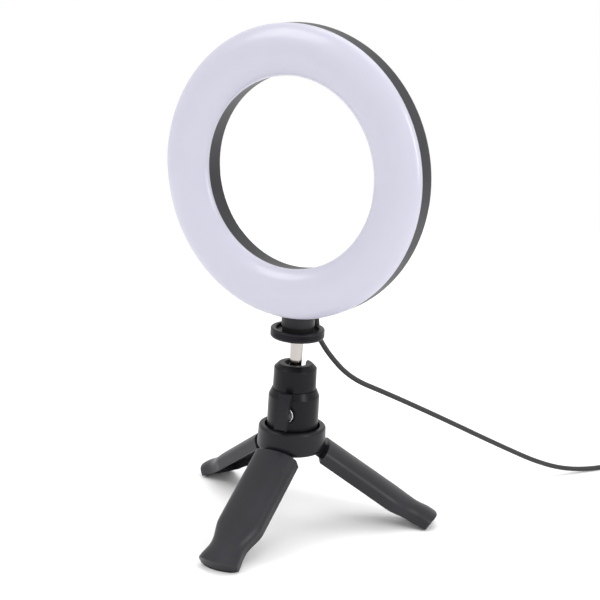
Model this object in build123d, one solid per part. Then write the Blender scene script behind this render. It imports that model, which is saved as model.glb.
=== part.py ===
from build123d import *
import math
import os

# A small ring light on a folding table tripod, with its USB lead. Millimetres, +Z up.
# The lit face looks along -Y, the feet stand on Z = 0.

# ---- where things stand -------------------------------------------------------------------
AXIS_X = 0.3                  # tripod axis, set so that the footprint is centred on the origin
AXIS_Y = 14.6
HUB_YAW = 4.5                 # front leg, degrees from -Y towards +X
HEAD_YAW = 15.0               # lock lever (and the slot opposite it), degrees from -Y

# ---- ring ---------------------------------------------------------------------------------
RING_LOW_Z = 126.4            # lowest point of the ring
RING_OUTER_R = 80.0
RING_CENTRE_Z = RING_LOW_Z + RING_OUTER_R
RING_INNER_R = 52.2
RING_BACK_GAP = 5.0           # back face of the ring stands this far in front of the axis
HOUSING_DEPTH = 13.3
HOUSING_WALL = 2.0
INNER_WALL_DRAFT = 1.2        # the inner wall opens by this much towards the back
BACK_ROUND = 4.0
DIFFUSER_RISE = 7.0
DIFFUSER_WALL = 1.6
SKIRT_DEPTH = 3.0
SKIRT_WALL = 1.4
FIT = 0.15                    # slip fit between parts that stay together
BOARD_WALL_GAP = 1.0
BOARD_THICKNESS = 1.2
BOARD_STANDOFF = 3.0
LED_COUNT = 32
LED_SIZE = (2.8, 3.5, 0.8)
LED_ROW_OFFSET = 6.0
SCREW_COUNT = 6
SCREW_FIRST_ANGLE = 0.0
SCREW_R = 1.25
SCREW_HEAD_R = 2.4
SCREW_HEAD_DEPTH = 1.2
SCREW_LENGTH = 9.0
SCREW_POST_R = 2.8
POST_HOLE_GAP = 0.6

# ---- mount block, boss and threaded insert ------------------------------------------------
BOSS_R = 9.4
BOSS_BOTTOM_Z = 117.8
BLOCK_HALF_WIDTH = 12.5
BLOCK_BOTTOM_Z = 127.0
BLOCK_TOP_Z = 142.0
BLOCK_BACK = 22.5             # the block's round back reaches this far behind the axis
BLOCK_ROUND = 3.0
INSERT_R = 5.0
INSERT_LENGTH = 11.0
STUD_R = 3.175                # quarter-inch thread, plain diameter
THREAD_FIT = 0.05

# ---- lock wheel and ball stud -------------------------------------------------------------
WHEEL_R = 15.3
WHEEL_BOTTOM_Z = 111.0
WHEEL_HEIGHT = 5.0
WHEEL_RECESS_R = 12.3
WHEEL_RECESS_DEPTH = 1.2
WHEEL_GROOVE = 0.3
PAD_R = 8.8
STUD_TOP_Z = 127.5
POST_TOP_R = 3.8
POST_BOTTOM_R = 3.4
BALL_R = 7.5
BALL_Z = 87.5
BALL_FIT = 0.1
SEAT_CLEAR = 0.35             # the loose seat stands this far below the ball

# ---- ball head ----------------------------------------------------------------------------
CUP_BOTTOM_Z = 81.2
CUP_RIM_Z = 93.3
CUP_TOP_Z = 95.8
CUP_BOTTOM_R = 12.35
CUP_RIM_R = 12.15
CUP_CROWN_R = 9.6
CUP_MOUTH_R = 6.5
CUP_LIP_R = 5.6
CUP_SPIGOT_R = 10.4
CUP_SPIGOT_LENGTH = 6.0
SLOT_WIDTH = 9.4
HEAD_TOP_R = 12.7
HEAD_SHOULDER_R = 14.5
HEAD_SHOULDER_Z = 77.0
HEAD_BOTTOM_R = 14.7
HEAD_CHAMBER_R = 9.0
HEAD_CHAMBER_Z = 61.0
HEAD_SEAM = 0.2
SEAT_BOTTOM_Z = 73.0
SEAT_FIT = 0.1
LEVER_Z = 69.1

# ---- lock lever ---------------------------------------------------------------------------
CLAMP_SCREW_R = 2.5
LEVER_BOSS_R = 5.6
LEVER_BOSS_OUT = 15.1         # face of the pad that the washer lies on
WASHER_R = 4.5
WASHER_THICKNESS = 1.0
LEVER_WIDTH = 6.9
LEVER_HUB_R = 3.4
LEVER_FACE = 25.5
LEVER_WEB = 19.0
LEVER_TIP_UP = 13.0
LEVER_FACE_UP = 6.2
LEVER_FACE_DOWN = 6.5

# ---- hub ----------------------------------------------------------------------------------
HUB_BOTTOM_Z = 44.7
HUB_TOP_Z = 59.2
HUB_TOP_R = 19.2
HUB_BOTTOM_R = 19.8
HUB_BOTTOM_ROUND = 3.2
HUB_TOP_ROUND = 1.6
HUB_RECESS_R = 15.8
HUB_RECESS_Z = 55.0
PAN_GAP = 0.3
PAN_BOLT_R = 2.5
PAN_BOLT_HEAD_R = 4.6
PAN_BOLT_HEAD = 3.0
PAN_HEAD_RECESS_R = 5.2
PAN_WASHER = 0.8
PAN_BOLT_LENGTH = 12.0
PIN_FIT = 0.06                # running fit on pins and on the pan bolt

# ---- legs ---------------------------------------------------------------------------------
LEG_COUNT = 3
HINGE_RADIUS = 12.0           # pin, out from the tripod axis
HINGE_Z = 48.0
SPREAD = 56.0                 # leg from the vertical when spread
PIN_R = 1.5
PIN_LENGTH = 16.0
EYE_R = 4.2
TONGUE_WIDTH = 8.0
TONGUE_GAP = 0.4
SLOT_ROOF_GAP = 0.6
LEG_WALL = 1.8
LEG_START = 7.4               # leg body, along the leg from the pin
LEG_LENGTH = 85.5
LEG_TAPER_AT = LEG_LENGTH - 30.5
WAIST_AT = LEG_LENGTH - 14.5
FOOT_FLARE_AT = LEG_LENGTH - 2.5
HOLLOW_END = LEG_LENGTH - 9.5
# Each section: width, open edge (in from the pin), crown (out from it), straight side wall.
BODY_SECTION = (26.4, -4.0, 7.0, 4.6)
WAIST_SECTION = (20.0, -3.0, 7.0, 4.0)
FOOT_SECTION = (23.5, -1.4, 8.2, 3.4)
STATION_STEP = 2.0
FOOT_PAD_THICKNESS = 1.2
TOE_R = 22.0                  # the foot's rounded end, seen from above

# ---- USB lead -----------------------------------------------------------------------------
CORD_R = 1.5
GLAND_R = 3.0
GLAND_LENGTH = 6.0
GLAND_SPOT = (0.6, 19.0)      # right of and behind the tripod axis
CORD_HEADING = 57.0           # the way the lead leaves, degrees from +X towards +Y
# Along the heading from the gland, and height, for each corner of the tube.
CORD_ROUTE = (
    (0.0, 127.0),
    (0.0, 111.0),
    (8.4, 97.0),
    (25.0, 79.6),
    (50.0, 68.2),
    (90.0, 48.5),
    (132.0, 27.0),
    (170.0, 8.5),
    (198.0, 1.5),
    (240.0, 1.5),
)
CORNER_SHARE = 0.45           # share of the shorter run that a bend takes
COIL_REACH = 248.0            # where the outermost turn begins, along the heading
COIL_TURN_R = 21.2            # centre line of the outermost turn
COIL_BAND = 10.2              # width of the bundle of turns
COIL_HEIGHT = 12.0
COIL_ROUND = 1.4
TIE_WIDTH = 6.0
TIE_THICKNESS = 0.9
END_LEAD = 24.0               # lead between the coil and the plug's control

# ---- control with the USB plug --------------------------------------------------------------
CASE_LENGTH = 52.0
CASE_WIDTH = 20.0
CASE_HEIGHT = 10.0
CASE_WALL = 1.4
CASE_CORNER = 3.5
CASE_EDGE = 1.2
BOARD_LEDGE = 1.0
CASE_BOARD = 1.2
CASE_BOARD_Z = 4.0
BOOT_LENGTH = 9.0
BOOT_R = 3.4
BOOT_TIP_R = 2.2
USB_WIDTH = 12.0
USB_HEIGHT = 4.5
USB_LENGTH = 18.0
USB_INSIDE = 5.0
USB_SHEET = 0.3
TONGUE_HEIGHT = 1.9
TONGUE_SIDE = 0.4
BUTTON_R = 2.6
BUTTON_TRAVEL = 0.8
BUTTON_STAND = 0.9
BUTTON_FLANGE = 0.8
BUTTON_GAP = 0.2
BUTTON_FIRST = 13.0
BUTTON_STEP = 11.0

os.makedirs("parts", exist_ok=True)

RING_MID_R = (RING_OUTER_R + RING_INNER_R) / 2
RING_HALF = (RING_OUTER_R - RING_INNER_R) / 2
RING_BACK_Y = AXIS_Y - RING_BACK_GAP
# Ring parts are drawn lying down: radius from the ring's centre, height forward from its back.
RING_PLACE = Plane(
    origin=(AXIS_X, RING_BACK_Y, RING_CENTRE_Z), x_dir=(1, 0, 0), z_dir=(0, -1, 0)
).location
AXIS_PLACE = Pos(AXIS_X, AXIS_Y, 0)
HEAD_PLACE = AXIS_PLACE * Rot(0, 0, HEAD_YAW)
HUB_PLACE = AXIS_PLACE * Rot(0, 0, HUB_YAW)


def turned(outline, rounds=None):
    """Solid of revolution about Z. rounds gives a fillet radius for a corner's number."""
    with BuildSketch() as face:
        with BuildLine():
            Polyline(*outline, close=True)
        make_face()
        for number, radius in (rounds or {}).items():
            near = Vector(*outline[number])
            fillet(face.vertices().sort_by_distance(near)[0], radius)
    return revolve(Plane.XZ.location * face.sketch, Axis.Z, 360)


def bar(radius, low, high):
    """Upright cylinder between two heights."""
    return Pos(0, 0, low) * Cylinder(
        radius, high - low, align=(Align.CENTER, Align.CENTER, Align.MIN)
    )


def side_plate(outline, width, rounds=None):
    """Plate of a given width across X, drawn in the plane of Y forward and Z up."""
    with BuildSketch() as face:
        with BuildLine():
            Polyline(*outline, close=True)
        make_face()
        for number, radius in (rounds or {}).items():
            near = Vector(*outline[number])
            fillet(face.vertices().sort_by_distance(near)[0], radius)
    flat = Plane(origin=(0, 0, 0), x_dir=(0, -1, 0), z_dir=(-1, 0, 0)).location * face.sketch
    return extrude(flat, width / 2, both=True)


def save(name, shape):
    """Write one node."""
    shape.label = name
    export_step(shape, f"parts/{name}.step")
    return shape


# ---- ring ---------------------------------------------------------------------------------
def screw_angles():
    return [SCREW_FIRST_ANGLE + 360 / SCREW_COUNT * n for n in range(SCREW_COUNT)]


def around(part, radius, angles):
    """Copies of a part that is drawn at the ring's centre, moved out to a radius."""
    return [Rot(0, 0, a) * Pos(radius, 0, 0) * part for a in angles]


BOARD_BACK = HOUSING_WALL + BOARD_STANDOFF
BOARD_OUTER_R = RING_OUTER_R - HOUSING_WALL - BOARD_WALL_GAP
BOARD_INNER_R = RING_INNER_R + INNER_WALL_DRAFT + HOUSING_WALL + BOARD_WALL_GAP


def make_diffuser():
    dome = Pos(RING_MID_R, HOUSING_DEPTH) * Ellipse(RING_HALF, DIFFUSER_RISE)
    hollow = Pos(RING_MID_R, HOUSING_DEPTH) * Ellipse(
        RING_HALF - DIFFUSER_WALL, DIFFUSER_RISE - DIFFUSER_WALL
    )
    above = Pos(RING_MID_R, HOUSING_DEPTH) * Rectangle(
        3 * RING_HALF, 2 * DIFFUSER_RISE, align=(Align.CENTER, Align.MIN)
    )
    shell = (dome - hollow) & above
    outer_foot = RING_OUTER_R - HOUSING_WALL - FIT
    inner_foot = RING_INNER_R + HOUSING_WALL + FIT + INNER_WALL_DRAFT * SKIRT_DEPTH / HOUSING_DEPTH
    skirt = Rectangle(SKIRT_WALL, SKIRT_DEPTH + DIFFUSER_WALL, align=(Align.MIN, Align.MIN))
    low = HOUSING_DEPTH - SKIRT_DEPTH
    shell += Pos(outer_foot - SKIRT_WALL, low) * skirt
    shell += Pos(inner_foot, low) * skirt
    ledge = Rectangle(
        SKIRT_WALL + HOUSING_WALL, DIFFUSER_WALL, align=(Align.MIN, Align.MIN)
    )
    shell += (Pos(outer_foot - SKIRT_WALL, HOUSING_DEPTH) * ledge) & dome
    shell += (Pos(inner_foot + SKIRT_WALL, HOUSING_DEPTH) * mirror(ledge, Plane.YZ)) & dome
    part = revolve(Plane.XZ.location * shell, Axis.Z, 360)
    post = bar(SCREW_POST_R, HOUSING_WALL + FIT, HOUSING_DEPTH + DIFFUSER_RISE - DIFFUSER_WALL / 2)
    hole = bar(SCREW_R + THREAD_FIT, 0, SCREW_LENGTH + FIT)
    for one in around(post, RING_MID_R, screw_angles()):
        part += one
    for one in around(hole, RING_MID_R, screw_angles()):
        part -= one
    return RING_PLACE * part


def make_rear_housing():
    inner_back = RING_INNER_R + INNER_WALL_DRAFT
    shell = turned(
        [
            (RING_OUTER_R, HOUSING_DEPTH),
            (RING_OUTER_R, 0),
            (inner_back, 0),
            (RING_INNER_R, HOUSING_DEPTH),
            (RING_INNER_R + HOUSING_WALL, HOUSING_DEPTH),
            (inner_back + HOUSING_WALL, HOUSING_WALL),
            (RING_OUTER_R - HOUSING_WALL, HOUSING_WALL),
            (RING_OUTER_R - HOUSING_WALL, HOUSING_DEPTH),
        ],
        {1: BACK_ROUND, 2: 1.5, 6: BACK_ROUND - HOUSING_WALL},
    )
    hole = bar(SCREW_R + FIT, -1, HOUSING_WALL + 1)
    sink = bar(SCREW_HEAD_R + FIT, -1, SCREW_HEAD_DEPTH)
    for one in around(hole + sink, RING_MID_R, screw_angles()):
        shell -= one
    shell = RING_PLACE * shell
    # Block behind the ring's lowest stretch, with a round back, and the boss below it.
    outline = Pos(0, BLOCK_BACK - BLOCK_HALF_WIDTH) * Circle(BLOCK_HALF_WIDTH)
    forward = RING_BACK_GAP + HOUSING_WALL / 2
    reach = BLOCK_BACK - BLOCK_HALF_WIDTH + forward
    outline += Pos(0, -forward) * Rectangle(
        2 * BLOCK_HALF_WIDTH, reach, align=(Align.CENTER, Align.MIN)
    )
    block = extrude(Pos(0, 0, BLOCK_BOTTOM_Z) * outline, BLOCK_TOP_Z - BLOCK_BOTTOM_Z)
    block = fillet(block.faces().sort_by(Axis.Z)[-1].edges(), BLOCK_ROUND)
    block += bar(BOSS_R, BOSS_BOTTOM_Z, BLOCK_BOTTOM_Z + 1)
    # Cavity for the lead inside the block, open into the ring.
    cavity_low = BOSS_BOTTOM_Z + INSERT_LENGTH + 2 * HOUSING_WALL
    return shell, block, cavity_low


def finish_rear_housing():
    shell, block, cavity_low = make_rear_housing()
    x, y = GLAND_SPOT
    insert_hole = bar(INSERT_R, BOSS_BOTTOM_Z - 1, BOSS_BOTTOM_Z + INSERT_LENGTH)
    insert_hole += bar(STUD_R + 2 * FIT, BOSS_BOTTOM_Z, BOSS_BOTTOM_Z + INSERT_LENGTH + HOUSING_WALL)
    tunnel_r = CORD_R + 0.5
    tunnel_z = (cavity_low + BLOCK_TOP_Z) / 2
    tunnel = Pos(x, -RING_BACK_GAP - 2 * HOUSING_WALL, tunnel_z) * Rot(-90, 0, 0) * Cylinder(
        tunnel_r, y + RING_BACK_GAP + 2 * HOUSING_WALL, align=(Align.CENTER, Align.CENTER, Align.MIN)
    )
    tunnel += Pos(x, y, 0) * bar(tunnel_r, BLOCK_BOTTOM_Z - 1, tunnel_z)
    return shell + AXIS_PLACE * block - AXIS_PLACE * (insert_hole + tunnel)


def make_board():
    ring = bar(BOARD_OUTER_R, BOARD_BACK, BOARD_BACK + BOARD_THICKNESS)
    ring -= bar(BOARD_INNER_R, 0, HOUSING_DEPTH)
    hole = bar(SCREW_POST_R + POST_HOLE_GAP, 0, HOUSING_DEPTH)
    for one in around(hole, RING_MID_R, screw_angles()):
        ring -= one
    return RING_PLACE * ring


def make_leds(offset, phase):
    top = BOARD_BACK + BOARD_THICKNESS
    chip = Pos(0, 0, top) * Box(*LED_SIZE, align=(Align.CENTER, Align.CENTER, Align.MIN))
    angles = [phase + 360 / LED_COUNT * n for n in range(LED_COUNT)]
    return Compound(children=[RING_PLACE * c for c in around(chip, RING_MID_R + offset, angles)])


def make_screws():
    screw = bar(SCREW_HEAD_R, 0, SCREW_HEAD_DEPTH) + bar(SCREW_R, 0, SCREW_LENGTH)
    recess = Box(2.6, 0.7, 1.2) + Box(0.7, 2.6, 1.2)
    screw -= recess
    return Compound(children=[RING_PLACE * s for s in around(screw, RING_MID_R, screw_angles())])


def make_standoffs():
    """Three short pillars that carry the board off the back wall."""
    pillar = bar(2.2, HOUSING_WALL, BOARD_BACK)
    angles = [SCREW_FIRST_ANGLE + 60 + 120 * n + 30 for n in range(3)]
    return Compound(children=[RING_PLACE * p for p in around(pillar, RING_MID_R, angles)])


diffuser = save("diffuser", make_diffuser())
rear_housing = save("rear_housing", finish_rear_housing())
led_board = save("led_board", make_board())
save("leds_warm", make_leds(LED_ROW_OFFSET, 0))
save("leds_cool", make_leds(-LED_ROW_OFFSET, 180 / LED_COUNT))
save("housing_screws", make_screws())
save("board_standoffs", make_standoffs())

# ---- threaded insert, ball stud, lock wheel -------------------------------------------------
insert = bar(INSERT_R, BOSS_BOTTOM_Z, BOSS_BOTTOM_Z + INSERT_LENGTH)
insert -= bar(STUD_R + THREAD_FIT, BOSS_BOTTOM_Z - 1, BOSS_BOTTOM_Z + INSERT_LENGTH + 1)
save("threaded_insert", AXIS_PLACE * insert)

post_low = BALL_Z + math.sqrt(BALL_R**2 - POST_BOTTOM_R**2) - 0.2
stud = Pos(0, 0, BALL_Z) * Sphere(BALL_R)
stud += turned(
    [(0, post_low), (POST_BOTTOM_R, post_low), (POST_TOP_R, WHEEL_BOTTOM_Z), (0, WHEEL_BOTTOM_Z)]
)
stud += turned(
    [
        (0, WHEEL_BOTTOM_Z - 1),
        (STUD_R, WHEEL_BOTTOM_Z - 1),
        (STUD_R, STUD_TOP_Z - 0.8),
        (STUD_R - 0.8, STUD_TOP_Z),
        (0, STUD_TOP_Z),
    ]
)
save("ball_stud", AXIS_PLACE * stud)

wheel_top = WHEEL_BOTTOM_Z + WHEEL_HEIGHT
bore = STUD_R + THREAD_FIT
wheel = turned(
    [
        (bore, WHEEL_BOTTOM_Z),
        (WHEEL_R - 1.2, WHEEL_BOTTOM_Z),
        (WHEEL_R, WHEEL_BOTTOM_Z + 1.4),
        (WHEEL_R, wheel_top),
        (WHEEL_R - 0.5, wheel_top + 0.5),
        (WHEEL_RECESS_R, wheel_top + 0.5),
        (WHEEL_RECESS_R, wheel_top - WHEEL_RECESS_DEPTH),
        (bore, wheel_top - WHEEL_RECESS_DEPTH),
    ],
    {2: 0.6},
)
for height in (1.9, 2.8, 3.7):
    z = WHEEL_BOTTOM_Z + height
    wheel -= turned([(WHEEL_R - WHEEL_GROOVE, z), (WHEEL_R + 1, z - 0.5), (WHEEL_R + 1, z + 0.5)])
save("lock_wheel", AXIS_PLACE * wheel)

pad = turned(
    [
        (bore + FIT, wheel_top - WHEEL_RECESS_DEPTH),
        (PAD_R, wheel_top - WHEEL_RECESS_DEPTH),
        (PAD_R, BOSS_BOTTOM_Z - 0.02),
        (bore + FIT, BOSS_BOTTOM_Z - 0.02),
    ],
    {2: 0.5},
)
save("wheel_pad", AXIS_PLACE * pad)

# ---- ball head ----------------------------------------------------------------------------
cavity_r = BALL_R + BALL_FIT
spigot_z = CUP_BOTTOM_Z - CUP_SPIGOT_LENGTH
cup = turned(
    [
        (0, CUP_BOTTOM_Z),
        (CUP_BOTTOM_R, CUP_BOTTOM_Z),
        (CUP_RIM_R, CUP_RIM_Z),
        (CUP_CROWN_R, CUP_TOP_Z),
        (0, CUP_TOP_Z),
    ],
    {2: 0.8, 3: 1.0},
)
cup += bar(CUP_SPIGOT_R, spigot_z, CUP_BOTTOM_Z)
cup -= Pos(0, 0, BALL_Z) * Sphere(cavity_r)
cup -= bar(cavity_r, spigot_z - 1, BALL_Z)
lip_z = BALL_Z + math.sqrt(cavity_r**2 - CUP_LIP_R**2)
cup -= turned(
    [(0, lip_z - 1), (CUP_LIP_R, lip_z - 1), (CUP_LIP_R, lip_z), (CUP_MOUTH_R, CUP_TOP_Z + 0.01),
     (0, CUP_TOP_Z + 0.01)]
)
# Slot opposite the lever, into which the post drops when the light tips right back.
slot = Pos(0, 0, BALL_Z) * Rot(-90, 0, 0) * Cylinder(
    SLOT_WIDTH / 2, 2 * CUP_BOTTOM_R, align=(Align.CENTER, Align.CENTER, Align.MIN)
)
slot += Pos(0, 0, BALL_Z) * Box(
    SLOT_WIDTH, 2 * CUP_BOTTOM_R, CUP_TOP_Z, align=(Align.CENTER, Align.MIN, Align.MIN)
)
cup -= slot
save("ball_cup", HEAD_PLACE * cup)

head = turned(
    [
        (0, HUB_RECESS_Z + PAN_GAP),
        (HEAD_BOTTOM_R, HUB_RECESS_Z + PAN_GAP),
        (HEAD_SHOULDER_R, HEAD_SHOULDER_Z),
        (HEAD_TOP_R, CUP_BOTTOM_Z - HEAD_SEAM),
        (0, CUP_BOTTOM_Z - HEAD_SEAM),
    ],
    {2: 1.2},
)
lever_axis = Rot(90, 0, 0)    # drawn upright, this lays a cylinder along -Y
head += Pos(0, 0, LEVER_Z) * lever_axis * bar(LEVER_BOSS_R, HEAD_CHAMBER_R, LEVER_BOSS_OUT)
head -= bar(CUP_SPIGOT_R + FIT, spigot_z - FIT, CUP_BOTTOM_Z + 1)
head -= bar(HEAD_CHAMBER_R, HEAD_CHAMBER_Z, CUP_BOTTOM_Z)
head -= Pos(0, 0, LEVER_Z) * lever_axis * bar(CLAMP_SCREW_R + PIN_FIT, 0, 2 * LEVER_BOSS_OUT)
pan_floor = HUB_RECESS_Z + PAN_GAP
head -= bar(PAN_BOLT_R, pan_floor - 1, HEAD_CHAMBER_Z + 1)
save("head_housing", HEAD_PLACE * head)

seat = bar(BALL_R, SEAT_BOTTOM_Z, BALL_Z - POST_TOP_R - 2 * SEAT_CLEAR)
seat -= Pos(0, 0, BALL_Z) * Sphere(BALL_R + SEAT_CLEAR)
seat -= turned([(0, SEAT_BOTTOM_Z - 0.01), (4.0, SEAT_BOTTOM_Z - 0.01), (0, SEAT_BOTTOM_Z + 3.0)])
save("ball_seat", HEAD_PLACE * seat)

# The clamp screw's cone pushes a small wedge up under the seat.
wedge_low = LEVER_Z + CLAMP_SCREW_R + SEAT_FIT
wedge = bar(3.0, wedge_low, SEAT_BOTTOM_Z)
wedge += turned(
    [
        (0, SEAT_BOTTOM_Z),
        (3.0, SEAT_BOTTOM_Z),
        (0.6, SEAT_BOTTOM_Z + 1.8),
        (0, SEAT_BOTTOM_Z + 1.8),
    ]
)
save("clamp_wedge", HEAD_PLACE * wedge)

screw_tip = 5.5
clamp = turned(
    [
        (0, -screw_tip),
        (0.8, -screw_tip),
        (CLAMP_SCREW_R, 0.5 - screw_tip / 2),
        (CLAMP_SCREW_R, LEVER_WEB + 2),
        (0, LEVER_WEB + 2),
    ]
)
save("clamp_screw", HEAD_PLACE * Pos(0, 0, LEVER_Z) * lever_axis * clamp)

washer_out = LEVER_BOSS_OUT + WASHER_THICKNESS
washer = turned(
    [
        (CLAMP_SCREW_R + PIN_FIT, LEVER_BOSS_OUT),
        (WASHER_R, LEVER_BOSS_OUT),
        (WASHER_R, washer_out),
        (CLAMP_SCREW_R + PIN_FIT, washer_out),
    ],
    {2: 0.4},
)
save("lever_washer", HEAD_PLACE * Pos(0, 0, LEVER_Z) * lever_axis * washer)

lever = side_plate(
    [
        (LEVER_FACE, -LEVER_FACE_DOWN),
        (LEVER_FACE, LEVER_FACE_UP),
        (washer_out + 1.6, LEVER_TIP_UP),
        (washer_out + 0.2, LEVER_TIP_UP),
        (washer_out + 0.2, LEVER_TIP_UP - 3.5),
        (LEVER_WEB, WASHER_R + 0.4),
        (LEVER_WEB, -WASHER_R),
        (LEVER_WEB + 1.5, -LEVER_FACE_DOWN),
    ],
    LEVER_WIDTH,
    {0: 1.5, 1: 2.5, 2: 0.6, 5: 1.5, 7: 1.0},
)
lever += lever_axis * bar(LEVER_HUB_R, washer_out + 0.02, LEVER_WEB + 1)
lever -= lever_axis * bar(CLAMP_SCREW_R, 0, LEVER_WEB + 2)
save("lock_lever", HEAD_PLACE * Pos(0, 0, LEVER_Z) * lever)

# ---- hub ----------------------------------------------------------------------------------
hub = turned(
    [
        (0, HUB_BOTTOM_Z),
        (HUB_BOTTOM_R, HUB_BOTTOM_Z),
        (HUB_TOP_R, HUB_TOP_Z),
        (HUB_RECESS_R, HUB_TOP_Z),
        (HUB_RECESS_R, HUB_RECESS_Z),
        (0, HUB_RECESS_Z),
    ],
    {1: HUB_BOTTOM_ROUND, 2: HUB_TOP_ROUND, 3: 0.5},
)
bolt_seat = HUB_RECESS_Z - 4.0
hub -= bar(PAN_BOLT_R + PIN_FIT, HUB_BOTTOM_Z - 1, HUB_RECESS_Z + 1)
hub -= bar(PAN_HEAD_RECESS_R, HUB_BOTTOM_Z - 1, bolt_seat)
leg_angles = [-90 + 360 / LEG_COUNT * n for n in range(LEG_COUNT)]
slot_width = TONGUE_WIDTH + 2 * TONGUE_GAP
pocket_r = EYE_R + SLOT_ROOF_GAP
pocket = Rot(90, 0, 0) * Cylinder(pocket_r, slot_width)
pocket += Box(
    2 * HUB_BOTTOM_R, slot_width, 2 * EYE_R, align=(Align.MIN, Align.CENTER, Align.MAX)
)
pocket += Box(2 * pocket_r, slot_width, 2 * EYE_R, align=(Align.CENTER, Align.CENTER, Align.MAX))
pin_hole = Rot(90, 0, 0) * Cylinder(PIN_R, PIN_LENGTH)
for angle in leg_angles:
    hub -= Rot(0, 0, angle) * Pos(HINGE_RADIUS, 0, HINGE_Z) * (pocket + pin_hole)
save("tripod_hub", HUB_PLACE * hub)

bolt_low = bolt_seat - PAN_WASHER - PAN_BOLT_HEAD
bolt = bar(PAN_BOLT_HEAD_R, bolt_low, bolt_low + PAN_BOLT_HEAD)
bolt += bar(PAN_BOLT_R, bolt_low, bolt_low + PAN_BOLT_HEAD + PAN_BOLT_LENGTH)
bolt -= Pos(0, 0, bolt_low) * extrude(RegularPolygon(2.0, 6), 1.8)
save("pan_bolt", AXIS_PLACE * bolt)
pan_washer = bar(PAN_BOLT_HEAD_R, bolt_seat - PAN_WASHER, bolt_seat - 0.05)
pan_washer -= bar(PAN_BOLT_R + PIN_FIT, bolt_seat - PAN_WASHER - 1, bolt_seat + 1)
save("pan_washer", AXIS_PLACE * pan_washer)


# ---- legs ---------------------------------------------------------------------------------
# A leg is drawn along +X from its pin, with its outer face up (+Z) and its width across Y.
def arch(along, width, edge, crown, side):
    """Cross-section: flat open edge, two straight sides and a rounded outer face."""
    half = width / 2
    with BuildSketch(Plane(origin=(along, 0, 0), x_dir=(0, 1, 0), z_dir=(1, 0, 0))) as face:
        with BuildLine():
            spring = edge + side
            Line((-half, edge), (half, edge))
            Line((half, edge), (half, spring))
            EllipticalCenterArc((0, spring), half, crown - spring, arc_size=180)
            Line((-half, spring), (-half, edge))
        make_face()
    return face.sketch


def eased(low, high, share):
    """Between two values, level at both ends."""
    return low + (high - low) * (1 - math.cos(math.pi * share)) / 2


def leg_station(u):
    """Width, open edge, crown and side height at a distance along the leg."""
    if u <= LEG_TAPER_AT:
        share, near, far = 0, BODY_SECTION, WAIST_SECTION
    elif u <= WAIST_AT:
        share = (u - LEG_TAPER_AT) / (WAIST_AT - LEG_TAPER_AT)
        near, far = BODY_SECTION, WAIST_SECTION
    else:
        share = min(1, (u - WAIST_AT) / (FOOT_FLARE_AT - WAIST_AT))
        near, far = WAIST_SECTION, FOOT_SECTION
    return [eased(a, b, share) for a, b in zip(near, far)]


def leg_body(inset, start, end, drop):
    """Loft through the leg's stations; inset shrinks it for the hollow."""
    steps = round((end - LEG_TAPER_AT) / STATION_STEP)
    places = [start] + [LEG_TAPER_AT + (end - LEG_TAPER_AT) * n / steps for n in range(steps + 1)]
    faces = []
    for u in places:
        width, edge, crown, side = leg_station(u)
        faces.append(arch(u, width - 2 * inset, edge - drop, crown - inset, side + drop))
    return loft(faces, ruled=True)


def make_leg():
    body = leg_body(0, LEG_START, LEG_LENGTH, 0)
    hollow = leg_body(LEG_WALL, LEG_START + LEG_WALL, HOLLOW_END, 2.0)
    body -= hollow
    toe = Pos(LEG_LENGTH - TOE_R, 0, 0) * Cylinder(TOE_R, 60)
    toe += Pos(LEG_LENGTH - TOE_R, 0, 0) * Box(
        2 * LEG_LENGTH, 60, 60, align=(Align.MAX, Align.CENTER, Align.CENTER)
    )
    body &= toe
    tongue = Rot(90, 0, 0) * Cylinder(EYE_R, TONGUE_WIDTH)
    web = Box(
        LEG_START + 6, TONGUE_WIDTH, 2.6 - BODY_SECTION[1], align=(Align.MIN, Align.CENTER, Align.MIN)
    )
    tongue += Pos(0, 0, BODY_SECTION[1]) * web
    body += tongue
    body -= Rot(90, 0, 0) * Cylinder(PIN_R + PIN_FIT, 2 * TONGUE_WIDTH)
    return body


def spread(part, angle):
    """Set a leg part at its hinge, turned down to the spread angle."""
    return HUB_PLACE * Rot(0, 0, angle) * Pos(HINGE_RADIUS, 0, HINGE_Z) * Rot(0, 90 - SPREAD, 0) * part


leg_shape = make_leg()
names = ("front", "right", "left")
low_slab = Box(400, 400, FOOT_PAD_THICKNESS, align=(Align.CENTER, Align.CENTER, Align.MIN))
under = Box(400, 400, 40, align=(Align.CENTER, Align.CENTER, Align.MAX))
for name, angle in zip(names, leg_angles):
    pin = Rot(90, 0, 0) * Cylinder(PIN_R, PIN_LENGTH)
    save(f"hinge_pin_{name}", HUB_PLACE * Rot(0, 0, angle) * Pos(HINGE_RADIUS, 0, HINGE_Z) * pin)
    leg = spread(leg_shape, angle)
    save(f"foot_pad_{name}", leg & low_slab)
    save(f"leg_{name}", leg - Pos(0, 0, FOOT_PAD_THICKNESS) * under)

# ---- USB lead -----------------------------------------------------------------------------
gland_x, gland_y = AXIS_X + GLAND_SPOT[0], AXIS_Y + GLAND_SPOT[1]
gland = turned(
    [
        (CORD_R + FIT, BLOCK_BOTTOM_Z),
        (GLAND_R, BLOCK_BOTTOM_Z),
        (GLAND_R - 0.8, BLOCK_BOTTOM_Z - GLAND_LENGTH),
        (CORD_R + FIT, BLOCK_BOTTOM_Z - GLAND_LENGTH),
    ]
)
save("cord_gland", Pos(gland_x, gland_y, 0) * gland)

heading = math.radians(CORD_HEADING)
ahead = Vector(math.cos(heading), math.sin(heading), 0)
aside = Vector(math.sin(heading), -math.cos(heading), 0)
start = Vector(gland_x, gland_y, 0)


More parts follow.
